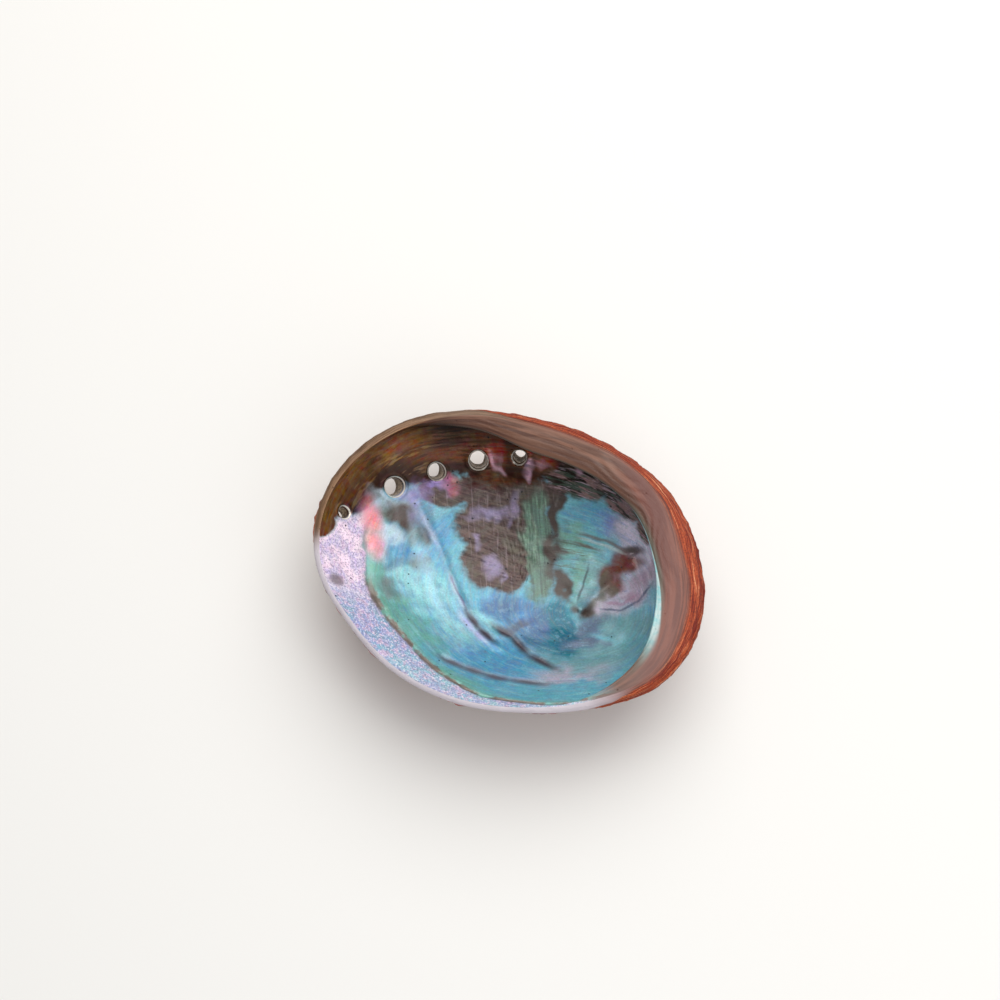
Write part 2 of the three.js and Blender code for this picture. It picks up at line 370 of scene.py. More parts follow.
class Pore:
    """A bore through the wall, square to the lining, with a rounded mouth and a raised collar.

    In millimetres: LIP is how far the mouth is rounded, COLLAR how high the collar stands, FOOT how far
    either side's slope runs out from the bore, and MARGIN the room between that and the grid. TAPER
    is the bore's width on either side, as a share of it.
    """

    LIP = 1.5
    COLLAR = 2.4
    FOOT = {"lining": 2.8, "outside": 3.4}
    TAPER = {"lining": 1.0, "outside": 0.92}
    MARGIN = 0.6
    SKIRT_RINGS = 11
    BORE_RINGS = 6
    STEPS = 6
    SHAPE = {"lining": bare_lining, "outside": bare_outside}

    def __init__(self, degrees, ring, bore):
        angle = math.radians(degrees)
        self.radius = bore / 2
        self.start, by_angle, by_ring = self.tangents("lining", angle, ring)
        self.out = np.cross(by_angle, by_ring)
        self.out /= np.linalg.norm(self.out)
        self.across = np.cross([0, 0, 1], self.out)
        self.across /= np.linalg.norm(self.across)
        self.upwards = np.cross(self.out, self.across)
        near_angle, near_ring = np.meshgrid(angle + np.linspace(-0.3, 0.3, 301), np.linspace(0.3, 0.95, 651))
        a, b = self.seen(bare_outside(near_angle, near_ring))
        best = np.unravel_index(np.hypot(a, b).argmin(), a.shape)
        self.foot = {"lining": (angle, ring), "outside": (near_angle[best], near_ring[best])}

    def tangents(self, side, angle, ring, step=1e-4):
        """A point of the lining or the outside and its two slopes, by differences."""
        steps = np.array([[angle, ring], [angle + step, ring], [angle, ring + step]])
        point, along, up = self.SHAPE[side](steps[:, 0], steps[:, 1])
        return point, (along - point) / step, (up - point) / step

    def seen(self, points):
        """Coordinates square to the bore: across and upwards."""
        return (points - self.start) @ self.across, (points - self.start) @ self.upwards

    def circle(self, side, radius, bearing):
        """Angle and ring of the places that stand on a cylinder round the bore. Each step moves them by
    what is still missing over the slopes at the bore, which are held fixed."""
        _, by_angle, by_ring = self.tangents(side, *self.foot[side])
        slopes = np.array([self.across, self.upwards]) @ np.array([by_angle, by_ring]).T
        places = np.array(self.foot[side])[:, None] + np.zeros((2, len(bearing)))
        for _ in range(self.STEPS):
            a, b = self.seen(self.SHAPE[side](*places))
            places += np.linalg.inv(slopes) @ [radius * np.cos(bearing) - a, radius * np.sin(bearing) - b]
        return places

    def opening(self, side):
        """The box of grid cells round the bore, as its loop of points, anticlockwise seen from outside."""
        angle, ring = self.foot[side]
        column = round(angle / (2 * math.pi) * DIRECTIONS)
        section = ring if side == "lining" else 2 + (1 - ring) / (1 - float(flat_ring(angle)))
        row = int(np.abs(sections - section).argmin())
        step = 1 if side == "lining" else -1
        bottom, top = row - step * self.reach[0], row + step * self.reach[0]
        left, right = column - self.reach[1], column + self.reach[1]
        rows, columns = np.arange(bottom, top, step), np.arange(left, right)
        kept[min(bottom, top):max(bottom, top), left:right] = False
        return np.concatenate([
            number[bottom, columns], number[rows, right],
            number[top, columns + 1][::-1], number[rows + step, left][::-1],
        ])

    def measure(self):
        """How many rows and columns the skirt of the pore reaches, on the wider side of the wall."""
        reach = []
        for side in self.foot:
            _, by_angle, by_ring = self.tangents(side, *self.foot[side])
            skirt = self.radius * self.TAPER[side] + self.FOOT[side] + self.MARGIN
            row_step = np.linalg.norm(by_ring) * LEDGE_ROOT / LINING_ROWS
            if side == "outside":
                rings = 1 - float(flat_ring(self.foot[side][0]))
                row_step = np.linalg.norm(by_ring) * rings / OUTSIDE_ROWS
            column_step = np.linalg.norm(by_angle) * 2 * math.pi / DIRECTIONS
            reach.append((math.ceil(skirt / row_step), math.ceil(skirt / column_step)))
        self.reach = np.max(reach, axis=0)

    def skirt(self, side, loop):
        """Rings of points from a loop of the grid in to the bore's edge on one side of the wall."""
        to_section = {
            "lining": lambda angle, ring: ring,
            "outside": lambda angle, ring: 2 + (1 - ring) / (1 - flat_ring(angle)),
        }[side]
        shape = {"lining": lining, "outside": outside}[side]
        loop_angle, loop_section = grid_angle.ravel()[loop], grid_section.ravel()[loop]
        loop_ring = loop_section
        if side == "outside":
            loop_ring = 1 - (loop_section - 2) * (1 - flat_ring(loop_angle))
        a, b = self.seen(self.SHAPE[side](loop_angle, loop_ring))
        bearing = np.unwrap(np.arctan2(b, a))
        bore = self.radius * self.TAPER[side]
        uneven = 0.035 * np.cos(2 * bearing + self.radius) + 0.02 * np.cos(3 * bearing + 2 * self.radius)
        made = []
        widest = self.circle(side, bore * (1 + uneven) + self.FOOT[side], bearing)
        for share in (0.3, 0.65):
            angle, ring = (1 - share) * np.array([loop_angle, loop_ring]) + share * widest
            made.append((shape(angle, ring), angle, to_section(angle, ring), 0 * ring))
        for out in self.FOOT[side] * np.linspace(1, 0, self.SKIRT_RINGS):
            angle, ring = self.circle(side, bore * (1 + uneven) + out, bearing)
            if side == "lining":
                within = np.clip(1 - out / self.LIP, 0, 1)
                lift = self.LIP * (1 - math.sqrt(1 - within**2)) - 0.35 * bump(out - self.LIP, 0.9)
            else:
                within = np.clip(1 - out / 1.1, 0, 1)
                rounded = 0.8 * (1 - math.sqrt(1 - within**2))
                lift = self.COLLAR * (1 - smooth(0.7, self.FOOT[side], out)) - rounded
            lifted = shape(angle, ring) + self.out * lift
            made.append((lifted, angle, to_section(angle, ring), 0 * ring + 0.6 * within))
        return made


rows = len(sections)
number = np.arange(rows * DIRECTIONS).reshape(rows, DIRECTIONS)
kept = np.ones((rows - 1, DIRECTIONS), bool)
skin = [(grid.reshape(-1, 3), grid_angle.ravel(), grid_section.ravel(), np.zeros(grid_angle.size))]
triangles = []
count = rows * DIRECTIONS


def sheet(net):
    """Two triangles for each cell of a net of point numbers whose rows close on themselves."""
    beside = np.roll(net, -1, axis=1)
    first = np.stack([net[:-1], net[1:], beside[1:]], -1)
    second = np.stack([net[:-1], beside[1:], beside[:-1]], -1)
    return first, second


for degrees, ring, bore in PORES:
    pore = Pore(degrees, ring, bore)
    pore.measure()
    mouth_loop, collar_loop = pore.opening("lining"), pore.opening("outside")
    mouth, collar = pore.skirt("lining", mouth_loop), pore.skirt("outside", collar_loop)[::-1]
    sides = len(mouth_loop)
    bore_wall = []
    for share in np.linspace(0, 1, pore.BORE_RINGS + 2)[1:-1]:
        between = [(1 - share) * near + share * far for near, far in zip(mouth[-1][:3], collar[0])]
        bore_wall.append((*between, np.ones(sides)))
    pore_rings = mouth + bore_wall + collar
    skin += pore_rings
    made = count + np.arange(len(pore_rings) * sides).reshape(len(pore_rings), sides)
    count += made.size
    triangles += [half.reshape(-1, 3) for half in sheet(np.vstack([mouth_loop, made, collar_loop]))]

triangles += [half[kept] for half in sheet(number)]
poles = place(0.0, 0.0, np.array([FLOOR_THICKNESS, 0.0]))
skin.append((poles, np.zeros(2), np.array([0.0, 3.0]), np.zeros(2)))
first, last = number[0], number[-1]
triangles.append(np.stack([np.full(DIRECTIONS, count), first, np.roll(first, -1)], -1))
triangles.append(np.stack([last, np.full(DIRECTIONS, count + 1), np.roll(last, -1)], -1))

used, triangles = np.unique(np.concatenate(triangles), return_inverse=True)
triangles = triangles.reshape(-1, 3)
points, point_angle, point_section, point_bore = (np.concatenate(parts)[used] for parts in zip(*skin))
plan_x, plan_y = points[:, 0], points[:, 1]

middle = np.array([(low.x + high.x) / 2, (low.y + high.y) / 2, low.z])
shell_mesh = bpy.data.meshes.new("shell_skin")
shell_mesh.from_pydata((points * MM + middle).tolist(), [], triangles.tolist())
shell_mesh.shade_smooth()
shell = bpy.data.objects.new("shell_skin", shell_mesh)
bpy.context.scene.collection.objects.link(shell)


def record(name, values):
    """Keeps a number at every point of the shell, for its material to read."""
    layer = shell_mesh.attributes.new(name, "FLOAT", "POINT")
    layer.data.foreach_set("value", np.asarray(values, np.float32))


record("section", point_section)
record("growth", growth(plan_x, plan_y))
record("ledge", ledge_share(point_angle))
record("edge_width", around(EDGE_WIDTH, point_angle))
record("bore", point_bore)
record("lip", past_groove(plan_x, plan_y))

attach(shell, "root")
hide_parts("shell")

# ---------------------------------------------------------------------------------------------
# The shell's finish: mother-of-pearl that turns blue, green and rose inside, where the muscle left
# a dull brown scar, with a satin brown ledge, and a rough brick-red back. Everything is grown in
# one sheet, so it is one material that changes from place to place.


def tone(red, green, blue):
    """A colour given as a paint chart gives it, 0 to 255, as the linear light a shader works with."""
    shares = np.array([red, green, blue]) / 255
    linear = np.where(shares > 0.04045, ((shares + 0.055) / 1.055) ** 2.4, shares / 12.92)
    return (*linear.tolist(), 1.0)


class Socket:
    """One output of a node. The signs between two of them, or one and a number, add Math nodes."""

    def __init__(self, finish, link):
        self.finish = finish
        self.link = link

    def math(self, operation, *values):
        return self.finish.node("Math", {"operation": operation}, dict(enumerate(values)))

    def __add__(self, other):
        return self.math("ADD", self, other)

    def __radd__(self, other):
        return self.math("ADD", other, self)

    def __sub__(self, other):
        return self.math("SUBTRACT", self, other)

    def __rsub__(self, other):
        return self.math("SUBTRACT", other, self)

    def __mul__(self, other):
        return self.math("MULTIPLY", self, other)

    def __rmul__(self, other):
        return self.math("MULTIPLY", other, self)

    def larger(self, other):
        """The larger of two values."""
        return self.math("MAXIMUM", self, other)

    def between(self, start, end):
        """0 at start and 1 at end, with an S-shaped rise between, or a fall where end comes first."""
        ends = {0: self, 1: start, 2: end}
        return self.finish.node("MapRange", {"interpolation_type": "SMOOTHSTEP"}, ends)


class Finish:
    """A material, with its nodes added one by one."""

    def __init__(self, name):
        self.material = bpy.data.materials.new(name)
        self.material.use_nodes = True
        self.tree = self.material.node_tree
        self.shader = self.tree.nodes["Principled BSDF"]

    def node(self, kind, settings=None, sockets=None, output=0):
        """Adds a node: its settings first, then numbers or links for its sockets."""
        made = self.tree.nodes.new("ShaderNode" + kind)
        for name, value in (settings or {}).items():
            setattr(made, name, value)
        self.feed(made, sockets or {})
        return Socket(self, made.outputs[output])

    def feed(self, made, sockets):
        """Links or sets the sockets of a node."""
        for name, value in sockets.items():
            if isinstance(value, Socket):
                self.tree.links.new(value.link, made.inputs[name])
            else:
                made.inputs[name].default_value = value

    def mix(self, share, under, over, blend="MIX"):
        """The colour under, with a share of the colour over laid on it."""
        return self.node("Mix", {"data_type": "RGBA", "blend_type": blend}, {0: share, 6: under, 7: over}, 2)

    def grain(self, where, detail=2, roughness=0.5, output=0):
        """Soft noise of about one unit, 0 to 1: number output 0, or three numbers as colour output 1."""
        sockets = {"Vector": where, "Scale": 1, "Detail": detail, "Roughness": roughness}
        return self.node("TexNoise", None, sockets, output)

    def turned(self, where, centre, size, degrees=0):
        """Coordinates about a centre, turned, in which a given size counts as one."""
        turn = (0, 0, math.radians(degrees))
        return self.node("Mapping", {"vector_type": "TEXTURE"}, {0: where, 1: centre, 2: turn, 3: size})

    def stirred(self, where, size, amount):
        """Coordinates pushed about by noise of a size, by up to about an amount."""
        push = self.grain(self.turned(where, (7, 3, 1), (size, size, size)), 1, 0.5, 1)
        centred = {0: push, 1: (amount * 2,) * 3, 2: (-amount,) * 3}
        push = self.node("VectorMath", {"operation": "MULTIPLY_ADD"}, centred)
        return self.node("VectorMath", {"operation": "ADD"}, {0: where, 1: push})

    def patch(self, where, x, y, long, wide, degrees, soft):
        """A mask: 1 within an ellipse of half a length and half a width seen from above, 0 around it."""
        centred = self.turned(where, (x, y, 0), (long, wide, 1000), degrees)
        off = self.node("VectorMath", {"operation": "LENGTH"}, {0: centred}, 1)
        return off.between(1 + soft, 1 - soft)

    def attribute(self, name):
        """A number that was recorded at every point."""
        return self.node("Attribute", {"attribute_name": name}, None, 2)


def route(width, *stations):
    """A streak through given points, as one long ellipse from each point to the next."""
    pieces = []
    for (x0, y0), (x1, y1) in zip(stations, stations[1:]):
        long = math.hypot(x1 - x0, y1 - y0) / 2 + 0.7 * width
        turn = math.degrees(math.atan2(y1 - y0, x1 - x0))
        pieces.append(((x0 + x1) / 2, (y0 + y1) / 2, long, width, turn))
    return pieces


pearl = Finish("abalone_pearl")
place_mm = pearl.turned(pearl.node("TexCoord", None, None, 3), middle, (MM, MM, MM))
crisp = pearl.stirred(place_mm, 5, 0.7)
section = pearl.attribute("section")
grown = pearl.attribute("growth")
ledge = pearl.attribute("ledge")
lip_width = pearl.attribute("edge_width")

# Streaks that follow the growth lines and the rings, streaks along and across the shell, and grain.
x_mm = pearl.node("SeparateXYZ", None, {0: place_mm}, 0)
y_mm = pearl.node("SeparateXYZ", None, {0: place_mm}, 1)


def streaks(value, count, drift, detail, roughness):
    """Noise in lines of equal value, about count of them while the value goes from 0 to 1. Along
    itself a line changes over one divided by drift millimetres."""
    where = pearl.node("CombineXYZ", None, {0: value * count, 1: x_mm * drift, 2: y_mm * drift})
    return pearl.grain(where, detail, roughness)


flow = streaks(grown, 45, 0.08, 2, 0.6)
fine_flow = streaks(grown, 150, 0.13, 2, 0.6)
sheets = streaks(section, 22, 0.05, 3, 0.65)
upright = pearl.grain(pearl.turned(place_mm, (0, 0, 0), (1.1, 16, 16), 4), 2, 0.6)
level = pearl.grain(pearl.turned(place_mm, (0, 0, 0), (11, 1.1, 15), -14), 2, 0.6)
cloud = pearl.grain(pearl.turned(place_mm, (3, 8, 0), (8, 8, 8)), 3, 0.55)
mottle = pearl.grain(pearl.turned(place_mm, (1, 5, 0), (3, 3, 3)), 2, 0.55)
grit = pearl.grain(pearl.turned(place_mm, (0, 0, 0), (0.9, 0.9, 0.9)), 2, 0.6)

turquoise = tone(92, 156, 176)
pale_cyan = tone(136, 190, 198)
deep_blue = tone(72, 132, 178)
sea_green = tone(100, 160, 146)
lilac = tone(160, 152, 190)
coral = tone(228, 146, 156)
plum = tone(64, 46, 43)
olive = tone(92, 88, 74)
red_brown = tone(104, 48, 38)
fold_white_and_highlight = tone(218, 212, 230)

# The pearl, from its broad fields down to its small marks: a colour, how strongly it is laid on,
# how soft its border is, and its ellipses (x, y, half a length, half a width, turn).
FIELDS = [
    (deep_blue, 0.8, 0.7, [
        (-10, -38, 26, 14, -25), (0, -14, 18, 10, -10), (-32, 24, 8, 6, 60), (-45, 13, 12, 5, -8),
    ]),
    (tone(60, 80, 124), 0.8, 0.7, [(14, -22, 10, 13, 20), (-3, -9, 8, 6, 0), (-54, 5, 7, 4, 0)]),
    (pale_cyan, 0.85, 0.8, [
        (-38, -6, 13, 10, -50), (-48, 0, 9, 6, 0), (-26, -24, 12, 7, -50), (-12, -18, 8, 4, -40),
    ]),
    (sea_green, 0.85, 0.6, [
        (-61, 0, 5, 10, 0), (-52, -18, 14, 6, -55), (-38, -30, 13, 6, -45), (-24, -56, 14, 5, -22),
    ]),
    (tone(104, 150, 130), 0.8, 0.5, [(29, 22, 8, 13, 0), (36, 6, 7, 14, -25)]),
    (tone(84, 146, 172), 0.9, 0.5, [(38, 32, 11, 5, -8), (46, 27, 9, 4, -25)]),
    (tone(112, 138, 186), 0.85, 0.6, [(49, 26, 8, 4, -30), (65, 14, 4, 5, -40)]),
    (tone(124, 168, 174), 0.8, 0.6, [(41, 5, 4, 9, -10), (35, -3, 3, 8, -10)]),
    (tone(172, 162, 180), 1, 0.6, [
        (57, 19, 11, 7, -35), (54, -5, 14, 9, 10), (63, 6, 8, 11, 30), (46, -14, 9, 5, 0),
        (30, -48, 16, 6, 10),
    ]),
    (tone(220, 208, 228), 0.85, 0.7, [(60, 19, 9, 6, -50), (66, 7, 4, 10, 10)]),
    (tone(98, 142, 148), 0.9, 0.6, [(50, -22, 12, 6, -6), (62, -26, 9, 6, -10), (40, -38, 24, 10, 0)]),
    (tone(8, 98, 120), 1, 0.5, [(24, -18, 6, 13, 5), (26, -30, 11, 8, 0)]),
    (tone(92, 98, 126), 0.8, 0.6, [(37, -22, 8, 5, 30), (34, -31, 8, 4, 0)]),
]
SMALL = [
    (tone(142, 122, 170), 0.8, 0.7, [
        (-68, 19, 4, 8, 10), (-43, 40, 7, 5, 60), (-34, 46, 6, 2.5, -15), (-43, 33, 5, 5, 0),
    ]),
    (tone(172, 96, 112), 0.65, 0.8, [(-27, 47, 4, 2.5, 20)]),
    (tone(186, 204, 216), 0.8, 0.8, [(-54, 20, 5, 4, -30), (-55, 35, 8, 3, -18)]),
    (tone(74, 62, 58), 1, 0.6, [(-50, 29, 10, 6, -30), (-42, 22, 5, 6, 0)]),
    (tone(102, 108, 104), 0.8, 0.9, [(-41, 8, 5, 3, -30), (-56, -7, 5, 3, -20)]),
    (tone(62, 50, 45), 1, 0.5, [(22, 34, 4, 11, 0), (21, 16, 4, 15, 0), (25, 1, 3.5, 10, 15)]),
    (red_brown, 1, 0.7, [(49, 4, 8, 5.5, 25), (54, 8, 5.5, 4.5, 0), (46, 1, 4, 6, 0)]),
    (olive, 0.85, 0.6, [(43, -5, 3, 9, -22), (38, -13, 4, 4, -30)]),
    (tone(146, 112, 132), 0.6, 0.8, [(57, -9, 7, 2.5, 15), (66, 2, 3, 8, 0), (62, -3, 4, 4, 0)]),
    (tone(140, 62, 42), 0.85, 0.8, [(11, 61, 6, 3, -25), (-8, 60, 4, 3, -40), (18, 55, 4, 3, 0)]),
    (tone(172, 136, 152), 0.7, 0.9, [
        (16, 54, 3, 1.5, -30), (9, 53, 3, 1.5, 30), (-6, 56, 4, 1.5, -50), (33, 50, 3, 1.5, -25),
    ]),
    (tone(142, 130, 162), 0.75, 0.9, [
        (-8, 35, 9, 2, 4), (3, 37, 2, 5, -25), (-8, 11, 3, 5, 25), (-1, 4, 2, 3, 0),
        (-14, 22, 3, 1.5, 10),
    ]),
    (tone(78, 74, 84), 0.7, 0.9, [(5, -18, 5, 3, 20), (2, -20, 3, 4, 0)]),
]
LINES = [
    (tone(112, 148, 178), 0.45, 0.95, route(2.6, *MAIN_FOLD[:7])),
    # Pale streak on the crest of the main fold: partly the fold's pale pearl, partly painted highlight.
    (fold_white_and_highlight, 0.3, 0.9, route(1.5, (-40, 31), (-36, 25), (-33, 19))
     + route(1, (-27, 4), (-23, -6), (-19, -14))),
    (tone(150, 196, 212), 0.6, 0.9, route(3, *SECOND_FOLD)),
    (tone(172, 168, 208), 0.7, 0.9, route(1.8, (-21, -17), (-16, -24), (-11, -29))),
    (tone(66, 52, 60), 0.95, 0.8, route(1.6, *GULLIES[0]) + route(1.9, *GULLIES[1])),
    (tone(92, 80, 86), 0.85, 0.8, route(1.8, *GULLIES[2])),
    (tone(56, 42, 36), 0.9, 0.7, route(1.6, (54, 14), (61, 12)) + [(36, -14, 4, 3, 30), (31, -12, 2, 2, 0)]),
]
SCRATCHES = [
    (tone(104, 80, 120), 0.6, 0.7, route(0.6, (-27, 4), (-24, -3), (-20, -11))),
    (tone(98, 84, 78), 0.75, 0.7, route(0.8, (34, 24), (45, 20), (54, 14)) + route(0.6, (30, 21), (42, 16))),
    (tone(180, 192, 190), 0.55, 0.7, route(0.7, (34, 22), (44, 18), (53, 13))),
    (tone(62, 74, 100), 0.75, 0.7, route(0.6, (43, -13), (51, -15), (59, -12), (65, -5))),
    (tone(60, 72, 80), 0.75, 0.7, route(0.6, (37, 8), (35, 1), (32, -7))),
    (tone(150, 104, 130), 0.5, 0.7, route(0.8, (45, -10), (52, -12), (58, -9))),
]


# The fields' borders wander with these, at every size from a finger's width to a grain.
stirred_x = plan_x + 1.4 * waves(plan_x, plan_y, 16, 21) + 0.5 * waves(plan_x, plan_y, 6, 22)
stirred_y = plan_y + 1.4 * waves(plan_x, plan_y, 16, 23) + 0.5 * waves(plan_x, plan_y, 6, 24)
uneven = (cloud - 0.5) * 0.8 + (mottle - 0.5) * 0.3 + (flow - 0.5) * 0.15


def island(name, far_out, ragged, start, end):
    """A mask with a ragged border: 0 where a number recorded at every point is past start, and 1
    where it is within end."""
    record(name, far_out)
    return (pearl.attribute(name) + uneven * ragged).between(start, end)


def lay(colour, name, fields, stir=1):
    """Lays a list of fields over a colour, one after another."""
    x = (1 - stir) * plan_x + stir * stirred_x
    y = (1 - stir) * plan_y + stir * stirred_y
    for turn, (laid, strength, soft, ellipses) in enumerate(fields):
        far_out = outside_of(ellipses, x, y)
        mask = island(f"{name}_{turn}", far_out, 0.2 + 0.8 * stir, 1 + soft, 1 - soft)
        colour = pearl.mix(mask * strength, colour, laid)
    return colour


colour = pearl.mix(cloud.between(0.35, 0.7), turquoise, tone(106, 172, 186))
colour = lay(colour, "field", FIELDS)
grown_out = grown.between(0.15, 0.55)
colour = pearl.mix(flow.between(0.52, 0.72) * grown_out * 0.45, colour, pale_cyan)
colour = pearl.mix(flow.between(0.46, 0.3) * grown_out * 0.4, colour, deep_blue)
colour = pearl.mix(fine_flow.between(0.55, 0.75) * grown_out * 0.25, colour, lilac)
colour = pearl.mix(mottle.between(0.55, 0.72) * 0.35, colour, tone(110, 160, 150))
colour = pearl.mix(mottle.between(0.42, 0.28) * 0.3, colour, tone(140, 156, 204))

# The muscle's scar, with fine pale scratches and lilac where the pearl shows through.
scar = island("scar", outside_of(SCAR, plan_x, plan_y), 0.7, 1.14, 0.84)
scar_colour = pearl.mix(level.between(0.42, 0.6), plum, tone(82, 66, 60))
scar_colour = pearl.mix(cloud.between(0.5, 0.7) * 0.6, scar_colour, tone(84, 78, 68))
scar_colour = pearl.mix(upright.between(0.56, 0.68) * 0.3, scar_colour, tone(140, 122, 126))
colour = pearl.mix(scar, colour, scar_colour)

# Beside the scar, a band of dull green, and fine dark stripes on the pearl past it.
band = island("band", outside_of([(14, 18, 7, 28, 2)], stirred_x, plan_y), 0.6, 1.15, 0.75)
band_colour = pearl.mix(upright.between(0.32, 0.66), tone(76, 92, 80), tone(96, 124, 108))
colour = pearl.mix(band * 0.95, colour, band_colour)
striped = island("striped", outside_of([(31, 15, 11, 8, -10)], stirred_x, plan_y), 0.6, 1.3, 0.6)
colour = pearl.mix(striped * level.between(0.5, 0.62) * 0.7, colour, tone(84, 92, 76))

# The steep far wall, brown with growth streaks, its dark brown partly painted shade, and the dark ribbons
# below the ledge, partly painted shadow.
wall = island("far_wall", outside_of(FAR_WALL, plan_x, plan_y), 0.6, 1.12, 0.85)
seams = streaks(section, 13, 0.03, 1, 0.4)
# Dark brown, partly the far wall's own colour and partly painted shade, as the far wall stands in shade.
far_wall_colour_and_shade = pearl.mix(seams.between(0.4, 0.62), tone(44, 22, 12), tone(84, 48, 27))
upper_left = section.between(0.66, 0.86) * x_mm.between(-25, -52)
far_wall_colour_and_shade = pearl.mix(upper_left * 0.85, far_wall_colour_and_shade, tone(140, 92, 54))
# Pale gold streaks along the growth sheets: partly the wall's own streaks, partly painted highlights
# standing for gold reflections.
pale_sheets_and_highlights = sheets.between(0.56, 0.66) * x_mm.between(-20, -50)
far_wall_colour_and_shade = pearl.mix(pale_sheets_and_highlights * 0.45, far_wall_colour_and_shade, tone(150, 116, 78))
far_wall_colour_and_shade = pearl.mix(sheets.between(0.45, 0.36) * 0.5, far_wall_colour_and_shade, tone(40, 20, 12))
# Painted shade: the wall is darkened just below the ledge, where the ledge's shadow falls.
painted_ledge_shade = section.between(0.74, 0.84) * x_mm.between(-45, -25)
far_wall_colour_and_shade = pearl.mix(painted_ledge_shade * 0.8, far_wall_colour_and_shade, tone(34, 17, 10))
colour = pearl.mix(wall, colour, far_wall_colour_and_shade)
# Dark ribbons below the ledge: partly fine striations, partly painted shadow where the ledge overhangs.
ribbons_and_shade = island("ribbons_and_shade", outside_of(RIBBONS_AND_SHADE, plan_x, plan_y), 1, 1.2, 0.75)
ribbon_and_shade_colour = pearl.mix(sheets.between(0.45, 0.55), tone(42, 34, 30), tone(126, 98, 96))
ribbon_and_shade_colour = pearl.mix(flow.between(0.5, 0.6) * 0.7, ribbon_and_shade_colour, tone(66, 84, 72))
ribbon_and_shade_colour = pearl.mix(fine_flow.between(0.56, 0.64) * 0.6, ribbon_and_shade_colour, tone(166, 146, 158))
colour = pearl.mix(ribbons_and_shade, colour, ribbon_and_shade_colour)
colour = lay(colour, "small", SMALL)
colour = lay(colour, "line", LINES, 0.15)
for laid, strength, soft, ellipses in SCRATCHES:
    for ellipse in ellipses:
        colour = pearl.mix(pearl.patch(crisp, *ellipse, soft) * strength, colour, laid)

# The band of the lip along the near side, where grains of the outer layer mix with the pearl, and
# the brown groove and greenish pearl that lead up to it.
past = pearl.attribute("lip") + (mottle - 0.5) * 3 + (cloud - 0.5) * 3
near_side = (1 - wall) * y_mm.between(36, 22)
lip = past.between(-0.5, 1.5) * near_side
lip_colour = pearl.mix(y_mm.between(0, -26), tone(240, 214, 230), tone(132, 158, 192))
lip_colour = pearl.mix(y_mm.between(-34, -56) * 0.8, lip_colour, tone(150, 186, 204))
lip_colour = pearl.mix(cloud.between(0.44, 0.58) * 0.65, lip_colour, tone(164, 160, 204))
lip_colour = pearl.mix(mottle.between(0.5, 0.62) * 0.6, lip_colour, tone(206, 178, 204))
lip_colour = pearl.mix(grit.between(0.53, 0.6) * 0.6, lip_colour, tone(104, 100, 122))
lip_colour = pearl.mix(grit.between(0.45, 0.38) * 0.6, lip_colour, tone(250, 238, 244))
lip_colour = pearl.mix(pearl.patch(crisp, -77, -9, 3, 3, 0, 0.5) * 0.8, lip_colour, tone(112, 98, 104))
colour = pearl.mix(past.between(-7, -2) * near_side * 0.6, colour, tone(112, 162, 146))
colour = pearl.mix(lip, colour, lip_colour)
groove = past.between(-3, -1.4) * past.between(2.2, 0.4) * y_mm.between(2, -12)
groove = groove * near_side * cloud.between(0.36, 0.5)
colour = pearl.mix(groove * 0.9, colour, tone(108, 88, 80))

# A coral patch at the top of the lip.
CORAL = [(coral, 1, 0.8, [(-63, 26, 4, 8, 8), (-61, 15, 4, 6, 10)])]
colour = lay(colour, "coral", CORAL, 0.3)

# Pin holes, and the play of colour from spot to spot.
holes = pearl.node("TexVoronoi", None, {"Vector": place_mm, "Scale": 0.16, "Randomness": 1}, 0)
pinned = holes.between(0.085, 0.05)
colour = pearl.mix(pinned * 0.85, colour, tone(30, 34, 40))
play = {
    "Hue": 0.5 + (cloud - 0.5) * 0.08 + (mottle - 0.5) * 0.12,
    "Saturation": 1.0 + (fine_flow - 0.5) * 0.9,
    "Value": 1.08 + (grit - 0.5) * 0.7 + (fine_flow - 0.5) * 0.5,
    "Color": colour,
}
colour = pearl.node("HueSaturation", None, play)

# The ledge: satin brown bands, with a sliver of turquoise pearl along its inner corner at the right.
bands = streaks(section, 90, 0.025, 3, 0.6)
ledge_colour = pearl.mix(bands.between(0.35, 0.65), tone(82, 48, 34), tone(108, 72, 54))
ledge_colour = pearl.mix(section.between(0.95, 0.93) * 0.7, ledge_colour, tone(98, 88, 74))
light_bands = section.between(0.97, 0.985) * bands.between(0.4, 0.6)
ledge_colour = pearl.mix(light_bands * 0.5, ledge_colour, tone(144, 96, 74))
inner = section + y_mm * 0.0006
grey_strip = inner.between(0.974, 0.962) * x_mm.between(50, 60)
ledge_colour = pearl.mix(grey_strip * 0.85, ledge_colour, tone(96, 92, 80))
sliver = inner.between(0.954, 0.949) * x_mm.between(54, 62) * y_mm.between(-56, -30)
sliver_colour = pearl.mix(mottle.between(0.4, 0.6), tone(150, 204, 208), tone(190, 214, 214))
ledge_colour = pearl.mix(sliver, ledge_colour, sliver_colour)
outer_brown = section.between(0.962, 0.978) * x_mm.between(44, 62)
outer_colour = pearl.mix(bands.between(0.4, 0.6), tone(102, 48, 36), tone(124, 66, 50))
ledge_colour = pearl.mix(outer_brown * 0.9, ledge_colour, outer_colour)
on_ledge = section.between(0.90, 0.915) * ledge
colour = pearl.mix(on_ledge, colour, ledge_colour)

